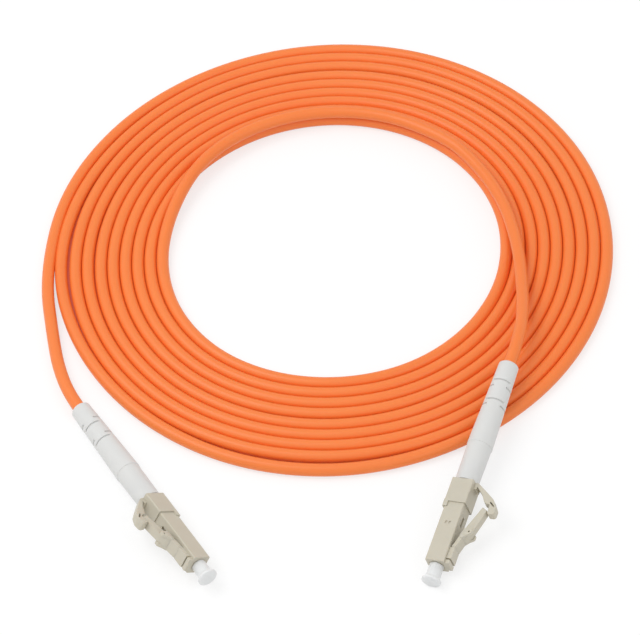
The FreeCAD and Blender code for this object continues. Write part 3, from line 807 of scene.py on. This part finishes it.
@dataclass
class LatchArm(PlugPiece):
    """Latch: thin wide plate, two lugs with a pip in each side, and a deep narrow arm from between them."""

    thickness: float = 0.9
    hinge: Pair = (-4.2, 2.95)
    front: float = 4.26
    plate_slope: float = 17.0
    plate_width: float = 3.2
    plate_rear: float = 9.35
    arm: tuple = (
        (-6.9, 4.0), (-6.9, 4.28), (-7.5, 5.0), (-8.4, 5.6), (-9.3, 5.9), (-12.4, 6.78), (-14.85, 7.42),
        (-15.55, 6.25), (-15.3, 6.1), (-9.4, 3.8),
    )
    arm_width: float = 2.0
    lug_front: float = 6.8
    lug_rear: float = 9.4
    lug_crown: tuple = ((-7.6, 4.95), (-7.95, 5.6), (-8.3, 5.97), (-9.2, 6.0))
    lug_width: float = 0.8
    lug_span: float = 3.5
    lug_back_drop: float = 0.2
    lug_front_rise: float = 0.03
    lug_foot_rise: float = 0.05
    lug_foot_run: float = 0.5
    pip: Pair = (-8.55, 5.35)
    pip_size: float = 0.38
    pip_lean: float = 20.0
    pip_depth: float = 0.5
    bead_inset: Pair = (0.005, 0.14)
    share: float = 0.5
    softness: float = 0.09

    def centreline(self, station: float) -> float:
        """Height of the plate's middle surface at a distance behind the nose."""
        return self.hinge[1] + math.tan(math.radians(self.plate_slope)) * (station + self.hinge[0])

    def build(self) -> None:
        """Makes the latch."""
        mesh = bmesh.new()
        half = self.thickness / 2.0
        ends = [(-station, self.centreline(station)) for station in (self.front, self.plate_rear)]
        plate = (*((x, z + half) for x, z in ends), *((x, z - half) for x, z in reversed(ends)))
        prism(mesh, plate, 0.0, self.plate_width)
        prism(mesh, self.arm, 0.0, self.arm_width)
        foot = self.lug_front + self.lug_foot_run
        lug = (
            (-self.lug_front, self.centreline(self.lug_front)),
            (-self.lug_front, self.centreline(self.lug_front) + half + self.lug_front_rise),
            *self.lug_crown,
            (-self.lug_rear, self.lug_crown[-1][1] - self.lug_back_drop),
            (-self.lug_rear, self.centreline(self.lug_rear) - half + self.lug_foot_rise),
            (-foot, self.centreline(foot) - half + self.lug_foot_rise),
        )
        for side in (-1, 1):
            prism(mesh, lug, side * (self.lug_span - self.lug_width) / 2.0, self.lug_width)
        cross_bead(mesh, self.hinge, half - self.bead_inset[0], self.plate_width - self.bead_inset[1])
        soften_edges(mesh, self.softness)
        for side in (-0.5, 0.5):
            centre = (self.pip[0], side * self.lug_span, self.pip[1])
            sink_mark(mesh, centre, self.pip_size, self.pip_size, self.pip_lean, self.pip_depth)
        swing(mesh, self.hinge, -self.bench.trigger_down * self.share)
        self.bench.piece(mesh, "latch_arm", "latch", "housing_beige", "latch", squared=True)


@dataclass
class RearClip(PlugPiece):
    """Square sleeve over the housing's rear, with a lip at its mouth and the trigger's root."""

    width: float = 5.2
    front: float = 15.2
    rear: float = 21.4
    edge_round: float = 0.3
    bore_width: float = 4.6
    bore_round: float = 0.2
    bore_rear: float = 17.55
    ring_bore: float = 2.28
    lip_length: float = 1.3
    lip_rear: float = 15.85
    lip_top: float = -1.6
    lip_proud: float = 0.12
    root_front: float = 19.8
    root_width: float = 2.3
    root_height: float = 0.7
    softness: float = 0.1

    def build(self) -> None:
        """Makes the clip."""
        half, wide = self.width / 2.0, self.root_width / 2.0
        mesh = bmesh.new()
        square_sleeve(mesh, self.width, -self.rear, -self.front, self.edge_round)
        square_sleeve(mesh, self.bore_width, -self.bore_rear, -self.front, self.bore_round)
        round_sleeve(mesh, self.ring_bore, -self.rear, -self.bore_rear)
        for station in (-self.front, -self.bore_rear, -self.rear):
            close_ring(mesh, station)
        bmesh.ops.recalc_face_normals(mesh, faces=mesh.faces[:])
        cut_at(mesh, 2, self.lip_top)
        cut_at(mesh, 0, -self.lip_rear, -self.root_front)
        cut_at(mesh, 1, -wide, wide)
        mouth = faces_within(mesh, (-self.front, -half, -half), (-self.front, half, self.lip_top), (1, 0, 0))
        pull_out(mesh, mouth, (self.lip_length, 0.0, 0.0))
        lip_front = self.lip_length - self.front
        low, high = (-self.lip_rear, -half, -half - SKIN), (lip_front, half, -half + SKIN)
        pull_out(mesh, faces_within(mesh, low, high, (0, 0, -1)), (0.0, 0.0, -self.lip_proud))
        top = faces_within(mesh, (-self.rear, -wide, half - SKIN), (-self.root_front, wide, half), (0, 0, 1))
        pull_out(mesh, top, (0.0, 0.0, self.root_height))
        soften_edges(mesh, self.softness)
        self.bench.piece(mesh, "clip_sleeve", "rear_clip", "housing_beige", ROOT_BODY, squared=True)


@dataclass
class TriggerLever(PlugPiece):
    """Bent lever from the clip's rear that thickens to a pad over the latch's end, with a slot in each side."""

    hinge: Pair = (-20.925, 3.3)
    thickness: float = 0.95
    width: float = 2.3
    outline: tuple = (
        (-21.4, 3.42), (-20.45, 3.42), (-18.6, 5.15), (-17.7, 5.65), (-16.9, 6.05), (-16.55, 6.6), (-16.38, 7.64),
        (-14.4, 7.66), (-14.0, 7.8), (-14.0, 8.95), (-14.35, 9.3), (-15.85, 9.3), (-17.75, 8.15), (-19.5, 5.95),
    )
    elbows: tuple = (2, 3, 4, 5, 6, 10, 11, 12, 13)
    elbow_round: float = 0.28
    elbow_steps: int = 4
    bead_inset: float = 0.1
    slot_centre: Pair = (-16.45, 8.2)
    slot_size: Pair = (1.6, 0.36)
    slot_lean: float = 48.0
    slot_depth: float = 0.9
    softness: float = 0.1

    def build(self) -> None:
        """Makes the trigger."""
        mesh = bmesh.new()
        prism(mesh, self.outline, 0.0, self.width)
        elbows = [self.outline[number] for number in self.elbows]
        round_cross_edges(mesh, elbows, self.elbow_round, self.elbow_steps)
        cross_bead(mesh, self.hinge, self.thickness / 2.0, self.width - self.bead_inset)
        soften_edges(mesh, self.softness)
        for side in (-0.5, 0.5):
            centre = (self.slot_centre[0], side * self.width, self.slot_centre[1])
            sink_mark(mesh, centre, *self.slot_size, self.slot_lean, self.slot_depth)
        swing(mesh, self.hinge, self.bench.trigger_down)
        self.bench.piece(mesh, "trigger_lever", "trigger", "housing_beige", "trigger", squared=True)


@dataclass
class BendRelief(PlugPiece):
    """Long boot: slim taper with a parting step, rounded rim and rows of slots that alternate, told from the rear."""

    front: float = 21.5
    rear: float = 54.3
    step_station: float = 31.5
    front_radius: float = 2.75
    step_radius: float = 2.88
    widest_radius: float = 3.0
    rim_radius: float = 2.35
    rim_round: float = 0.35
    ring_room: float = 2.294
    ring_rear: float = 27.0
    cable_bore: float = 1.55
    slot_width: float = 0.44
    slot_depth: float = 0.45
    slot_reach: float = 55.0
    slot_rows: tuple = (5.4, 7.0, 10.85, 12.15)
    slot_margin: float = 0.16
    steps: int = 72
    softness: float = 0.04

    def taper(self, station: float) -> float:
        """The outer radius behind the parting step.

        Args:
            station: The distance behind the nose.

        Returns:
            The radius.
        """
        end = self.rear - self.rim_round
        share = (station - self.step_station) / (end - self.step_station)
        return self.widest_radius + (self.rim_radius - self.widest_radius) * share

    def build(self) -> None:
        """Makes the boot."""
        slots = [(self.rear - row, self.rear - row - self.slot_width) for row in self.slot_rows]
        margin = self.slot_margin
        rings = [at for far, near in reversed(slots) for at in (near - margin, near, far, far + margin)]
        walls = [(-station, self.taper(station)) for station in rings]
        profile = (
            (-self.front, self.ring_room),
            (-self.front, self.front_radius),
            (-self.step_station, self.step_radius),
            (-self.step_station, self.widest_radius),
            *walls,
            (self.rim_round - self.rear, self.rim_radius),
            (-self.rear, self.rim_radius - self.rim_round),
            (-self.rear, self.cable_bore),
            (-self.ring_rear, self.cable_bore),
            (-self.ring_rear, self.ring_room),
        )
        mesh = bmesh.new()
        turned(mesh, profile, self.steps)
        for row, (rear, front) in enumerate(slots):
            axis = 1 if row % 2 == 0 else 2
            for side in (-1.0, 1.0):
                self.carve(mesh, -rear, -front, axis, side)
        turn = Matrix.Rotation(math.radians(self.bench.boot_turn), 3, "X")
        bmesh.ops.rotate(mesh, cent=(0.0, 0.0, 0.0), matrix=turn, verts=mesh.verts[:])
        self.bench.piece(mesh, "bend_relief", "boot", "boot_white", ROOT_BODY, self.softness)

    def carve(self, mesh: Mesh, rear: float, front: float, axis: int, side: float) -> None:
        """Cuts one slot, whose floor follows the boot's round.

        Args:
            mesh: The mesh.
            rear: The slot's rear station.
            front: Its front station.
            axis: 1 or 2, the direction in which it opens.
            side: 1 or -1.
        """
        outer = []
        for face in mesh.faces:
            middle = face.calc_center_median()
            reach = math.hypot(middle.y, middle.z)
            facing = middle[axis] * side > reach * math.cos(math.radians(self.slot_reach))
            if rear < middle.x < front and reach > self.rim_radius - self.rim_round and facing:
                outer.append(face)
        for vert in pull_out(mesh, outer, (0.0, 0.0, 0.0)):
            vert.co.yz *= 1.0 - self.slot_depth / math.hypot(vert.co.y, vert.co.z)


@dataclass
class PullCap(PlugPiece):
    """Translucent dust cap: sleeve over the ferrule, neck, and a flared rim to pull it by."""

    bore: float = 0.655
    bore_end: float = 2.4
    sleeve_radius: float = 1.2
    sleeve_length: float = 3.0
    face_gap: float = 0.12
    neck_radius: float = 1.65
    flare: tuple = (
        (2.8, 1.65), (3.15, 1.7), (3.45, 1.86), (3.7, 2.08), (3.9, 2.24), (4.05, 2.3), (4.2, 2.29), (4.33, 2.2),
        (4.4, 2.05),
    )
    dish_depth: float = 0.15
    dish_radius: float = 1.7
    axis_radius: float = 0.01
    steps: int = 64
    softness: float = 0.05

    def build(self) -> None:
        """Makes the cap."""
        dish = self.flare[-1][0] - self.dish_depth
        profile = (
            (-self.sleeve_length, self.bore),
            (-self.sleeve_length, self.sleeve_radius),
            (self.face_gap, self.sleeve_radius),
            (self.face_gap, self.neck_radius),
            *self.flare,
            (dish, self.dish_radius),
            (dish, self.axis_radius),
            (self.bore_end, self.axis_radius),
            (self.bore_end, self.bore),
        )
        mesh = bmesh.new()
        turned(mesh, profile, self.steps)
        self.bench.piece(mesh, "pull_cap", "dust_cap", "cap_clear", "cap", self.softness)


@dataclass
class WoundSpring(PlugPiece):
    """Round-wire compression spring behind the ferrule's flange."""

    wire_radius: float = 0.175
    mean_radius: float = 1.25
    turns: int = 4
    front: float = -5.805
    rear: float = -10.895
    steps_per_turn: int = 32
    wire_sides: int = 12
    travel: float = 1.0

    def build(self) -> None:
        """Makes the spring."""
        mesh = bmesh.new()
        start = Matrix.Translation((self.front, self.mean_radius, 0.0))
        verts = bmesh.ops.create_circle(
            mesh, cap_ends=True, segments=self.wire_sides, radius=self.wire_radius, matrix=start
        )["verts"]
        section = list({face for vert in verts for face in vert.link_faces})
        steps = self.turns * self.steps_per_turn
        advance = (self.rear - self.front) / steps
        bmesh.ops.spin(
            mesh, geom=section, cent=(0.0, 0.0, 0.0), axis=(1.0, 0.0, 0.0), dvec=(advance, 0.0, 0.0),
            angle=math.tau * self.turns, steps=steps, use_merge=False,
        )
        spring = self.bench.piece(mesh, "wire_spring", "spring", "spring_steel", ROOT_BODY)
        place = self.bench.place
        place.node("ferrule_press")
        tuple(place.matrix() @ Vector((self.rear - self.wire_radius, 0.0, 0.0)))
        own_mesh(spring)


@dataclass
class StrengthYarn(PlugPiece):
    """Spread filaments over the crimp neck, drawn together again inside the jacket's end."""

    spread: tuple = ((-19.3, 1.37, 1.6), (-25.27, 1.37, 1.6), (-25.28, 0.47, 0.98), (-54.3, 0.47, 0.98))
    flutes: int = 48
    flute_depth: float = 0.04
    fluted_from: float = 0.9

    def build(self) -> None:
        """Makes the yarn."""
        mesh = bmesh.new()
        outer = [(station, high) for station, _, high in self.spread]
        inner = [(station, low) for station, low, _ in reversed(self.spread)]
        turned(mesh, (*outer, *inner), self.flutes)
        for vert in mesh.verts:
            number = round(math.atan2(vert.co.z, vert.co.y) / math.tau * self.flutes)
            reach = math.hypot(vert.co.y, vert.co.z)
            if number % 2 and reach > self.fluted_from:
                vert.co.yz *= (reach - self.flute_depth) / reach
        self.bench.piece(mesh, "strength_yarn", "aramid_yarn", "yarn_yellow", ROOT_BODY)


@dataclass
class CableCore(PlugPiece):
    """The cable's last straight stretch inside the boot: its jacket and its coated fiber."""

    jacket: tuple = (-54.3, -25.3, 1.0, 1.5)
    fibre: tuple = (-54.3, -6.14, 0.3, 0.45)
    steps: int = 48
    softness: float = 0.05

    def build(self) -> None:
        """Makes both."""
        for name, node, slot, (rear, front, inner, outer) in (
            ("jacket_stub", "jacket_end", "jacket_orange", self.jacket),
            ("fibre_stub", "buffered_fibre", "buffer_orange", self.fibre),
        ):
            mesh = bmesh.new()
            turned(mesh, ((rear, inner), (rear, outer), (front, outer), (front, inner)), self.steps)
            self.bench.piece(mesh, name, node, slot, ROOT_BODY, self.softness)


@dataclass
class Plug:
    """One plug: all its pieces, made on its bench."""

    bench: Bench
    parts: tuple = (
        FrontHousing, LatchArm, RearClip, TriggerLever, BendRelief, PullCap, WoundSpring, StrengthYarn, CableCore,
    )

    def build(self) -> None:
        """Makes every piece."""
        for part in self.parts:
            part(self.bench).build()


# The cable


@dataclass
class Cable:
    """The whole cable between the boots: left tail, wound coil, right tail over the turns.

    A loose stretch is given by the turn where it begins, the number of turns that have it, how far it pushes the
    cable out and over what part of a turn; a step of the climb by its radius and height.
    """

    diameter: float = 3.0
    coil_centre: Point = (11.6, 70.94, 0.0)
    outer_radius: float = 67.9
    pitch: float = 3.0
    turns: int = 9
    points_per_turn: int = 16
    loose: tuple = (
        (0.06, 1, 0.5, 0.13), (1.02, 1, 0.9, 0.1), (2.03, 2, 0.25, 0.1), (0.3, 3, 0.35, 0.28), (0.78, 1, 0.5, 0.11),
        (1.78, 8, -0.35, 0.12), (5.77, 4, -0.22, 0.13),
    )
    climb: tuple = ((40.75, 2.7), (41.9, 4.9), (42.5, 4.75), (42.6, 4.65), (42.7, 4.65), (42.5, 4.65))
    left_route: tuple = ((-67.65, -20.5, 1.6), (-66.3, -30.0, 2.0))
    right_route: tuple = (
        (36.8, 22.2, 4.65), (42.6, 9.0, 4.6), (44.6, -5.5, 4.7), (44.2, -19.5, 5.6), (43.0, -31.0, 7.6)
    )
    boot_length: float = 54.3
    left_exit_run: float = 5.0
    right_exit_run: float = 7.0
    length: float = 3300.0
    spline_order: int = 3
    steps_between_points: int = 12
    section_steps: int = 6

    def mouth(self, place: PlugPlace, run: float = 0.0) -> Vector:
        """The point in metres where the cable leaves a boot, or a run of millimetres further along its axis."""
        return place.matrix() @ Vector((-self.boot_length - run, 0.0, 0.0))

    def slack(self, turn: float) -> float:
        """How far the cable lies outside an even spiral, so many turns from its outer end.

        Args:
            turn: The turns from the outer end.

        Returns:
            The distance in millimetres, negative where the cable lies inside it.
        """
        total = 0.0
        for first, laps, amount, reach in self.loose:
            for lap in range(laps):
                away = min(abs(turn - first - lap) / reach, 1.0)
                total += amount * math.cos(away * math.pi / 2.0) ** 2
        return total

    def coil(self) -> list[Vector]:
        """Winds the coil from its outer end to its inner end, clockwise, and up onto the turns.

        Returns:
            The control points, in millimetres from the coil's centre.
        """
        flat = self.turns * self.points_per_turn + 1
        wound = [number / self.points_per_turn for number in range(flat)]
        rings = [(self.outer_radius - self.pitch * at + self.slack(at), self.diameter / 2.0) for at in wound]
        points = []
        for number, (radius, height) in enumerate((*rings, *self.climb)):
            angle = math.pi - math.tau * number / self.points_per_turn
            reach = radius / math.cos(math.pi / self.points_per_turn)
            points.append(Vector((reach * math.cos(angle), reach * math.sin(angle), height)))
        return points

    def route(self, left: PlugPlace, right: PlugPlace) -> list[Vector]:
        """Leads the cable from the left boot through the coil to the right boot.

        Args:
            left: The left plug's place.
            right: The right plug's place.

        Returns:
            The control points, in metres.
        """
        centre = Vector(self.coil_centre)
        local = [Vector(p) for p in reversed(self.left_route)] + self.coil() + [Vector(p) for p in self.right_route]
        middle = [(centre + point) * MM for point in local]
        start = [self.mouth(left), self.mouth(left, self.left_exit_run)]
        end = [self.mouth(right, self.right_exit_run), self.mouth(right)]
        return start + middle + end

    def build(self, left: PlugPlace, right: PlugPlace, jacket: Material) -> None:
        """Makes the cable as one smooth spline.

        Args:
            left: The left plug's place.
            right: The right plug's place.
            jacket: The jacket's finish.
        """
        curve = bpy.data.curves.new("cable", "CURVE")
        curve.dimensions = "3D"
        curve.bevel_depth = self.diameter / 2.0 * MM
        curve.bevel_resolution = self.section_steps
        curve.use_fill_caps = True
        points = self.route(left, right)
        spline = curve.splines.new("NURBS")
        spline.points.add(len(points) - 1)
        for control, point in zip(spline.points, points):
            control.co = (*point, 1.0)
        spline.order_u = self.spline_order
        spline.use_endpoint_u = True
        spline.resolution_u = self.steps_between_points
        curve.materials.append(jacket)
        cable = add_object("cable", curve)
        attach(cable, ROOT_BODY)
        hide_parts("cable_coil", "cable_left_tail", "cable_right_tail")
        log.info("cable: %d control points", len(points))


# The studio


@dataclass
class Studio:
    """Pale floor, soft light from above and the photograph's camera, fitted to the coil and the plugs."""

    coil_centre: Point
    image_width: int = 640
    focal_pixels: float = 2785.6
    sensor_width: float = 36.0
    clip: Pair = (0.01, 20.0)
    elevation: float = 50.59
    roll: float = -5.13
    distance: float = 662.6
    aim: Point = (-4.15, -19.74, 0.0)
    floor_half: float = 3.0
    floor_drop: float = 0.00002
    paper: Colour = (0.9, 0.9, 0.9)
    floor_shade: Colour = (0.34, 0.34, 0.34)
    floor_glow: Colour = (0.68, 0.68, 0.68)
    # Between these radii, in metres, the floor's glow is a painted shadow under the turns, deep red like light thrown
    # off the cable
    painted_shade_radii: Pair = (0.044, 0.065)
    painted_shade_under_turns: Colour = (0.42, 0.035, 0.008)
    world_strength: float = 0.68
    lamps: tuple = (("key_lamp", (-0.35, 0.1, 0.7), 0.5, 2.1), ("fill_lamp", (0.5, -0.4, 0.6), 0.6, 0.7))

    def camera(self) -> None:
        """Places the camera."""
        tilt, roll = math.radians(self.elevation), math.radians(self.roll)
        back = Vector((0.0, -math.cos(tilt), math.sin(tilt)))
        right = Vector((1.0, 0.0, 0.0))
        up = back.cross(right)
        turned_right = math.cos(roll) * right + math.sin(roll) * up
        turned_up = math.cos(roll) * up - math.sin(roll) * right
        data = bpy.data.cameras.new("camera")
        data.sensor_width = self.sensor_width
        data.lens = self.focal_pixels / self.image_width * self.sensor_width
        data.clip_start, data.clip_end = self.clip
        camera = add_object("camera", data)
        axes = Matrix((turned_right, turned_up, back)).transposed().to_4x4()
        place = (Vector(self.coil_centre) + Vector(self.aim) + back * self.distance) * MM
        camera.matrix_world = Matrix.Translation(place) @ axes
        bpy.context.scene.camera = camera

    def floor(self) -> None:
        """Lays the floor, seen by the camera and by reflections as plain white, with a painted deep red shadow under
        the turns.
        """
        mesh = bmesh.new()
        bmesh.ops.create_grid(mesh, x_segments=1, y_segments=1, size=self.floor_half)
        data = bpy.data.meshes.new("floor")
        mesh.to_mesh(data)
        mesh.free()
        data.materials.append(self.floor_material())
        floor = add_object("floor", data)
        floor.location.z = -self.floor_drop

    def floor_material(self) -> Material:
        """White paper, white where it is seen directly, that keeps a light shadow; under the turns its glow is a
        painted shadow, deep red like light thrown off the orange cable.

        Returns:
            The material.
        """
        tree = ShaderTree.of("paper_floor")
        seen = tree.seen_directly()
        inputs = {0: tree.coordinates(), 1: Vector(self.coil_centre) * MM}
        reach = tree.node("ShaderNodeVectorMath", {"operation": "DISTANCE"}, inputs, "Value")
        # Between these radii the glow is a painted shadow under the turns, deep red like light thrown off the cable
        inner, outer = (reach.above(edge) for edge in self.painted_shade_radii)
        glow_and_painted_shade = tree.blend(inner - outer, self.floor_glow, self.painted_shade_under_turns)
        paper = tree.node("ShaderNodeBsdfPrincipled", {}, {
            "Base Color": tree.blend(seen, self.paper, self.floor_shade),
            "Emission Color": tree.blend(seen, (0.0, 0.0, 0.0), glow_and_painted_shade),
            "Emission Strength": 1.0,
            "Roughness": 0.9,
            "Specular IOR Level": 0.0,
        })
        tree.node("ShaderNodeOutputMaterial", {}, {"Surface": paper})
        return tree.owner

    def lamp(self, name: str, place: Point, size: float, power: float) -> None:
        """Hangs a soft square lamp that faces the coil.

        Args:
            name: The lamp's name.
            place: Where it hangs, in metres.
            size: Its side in metres.
            power: Its power in watts.
        """
        data = bpy.data.lights.new(name, "AREA")
        data.shape = "SQUARE"
        data.size = size
        data.energy = power
        back = (Vector(place) - Vector(self.coil_centre) * MM).normalized()
        turn = back.to_track_quat("Z", "Y").to_matrix().to_4x4()
        add_object(name, data).matrix_world = Matrix.Translation(place) @ turn

    def world(self) -> None:
        """Sets even white light from all round, white where it is seen directly."""
        world = bpy.data.worlds.new("studio")
        bpy.context.scene.world = world
        tree = ShaderTree(world)
        strength = self.world_strength + (1.0 - self.world_strength) * tree.seen_directly()
        sky = tree.node("ShaderNodeBackground", {}, {"Color": (1.0, 1.0, 1.0, 1.0), "Strength": strength})
        tree.node("ShaderNodeOutputWorld", {}, {"Surface": sky})

    def build(self) -> None:
        """Sets up the whole studio."""
        self.floor()
        self.world()
        self.camera()
        for lamp in self.lamps:
            self.lamp(*lamp)
        bpy.context.scene.view_settings.view_transform = "Standard"


def dress_nodes(frame: dict) -> dict[str, Material]:
    """Gives every CAD node its finish.


    Returns:
        The materials by slot.
    """
    materials = {finish.name: finish.material() for finish in FINISHES}
    for part in frame["record"]["subparts"]:
        node = frame["nodes"][part["node"]]
        node.data.materials.clear()
        node.data.materials.append(materials[part["material_slot"]])
    return materials


def main() -> None:
    """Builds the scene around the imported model."""
    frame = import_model()
    materials = dress_nodes(frame)
    left = PlugPlace.read(Side.LEFT, frame["record"])
    right = PlugPlace.read(Side.RIGHT, frame["record"])
    cable = Cable()
    cable.build(left, right, materials["jacket_orange"])
    for place, down, turn in ((left, LEFT_TRIGGER_DOWN, LEFT_BOOT_TURN), (right, 0.0, RIGHT_BOOT_TURN)):
        Plug(Bench(place, materials, down, turn)).build()
    Studio(cable.coil_centre).build()


if __name__ == "__main__":
    logging.basicConfig(level=logging.INFO, format="%(name)s: %(message)s")
    main()
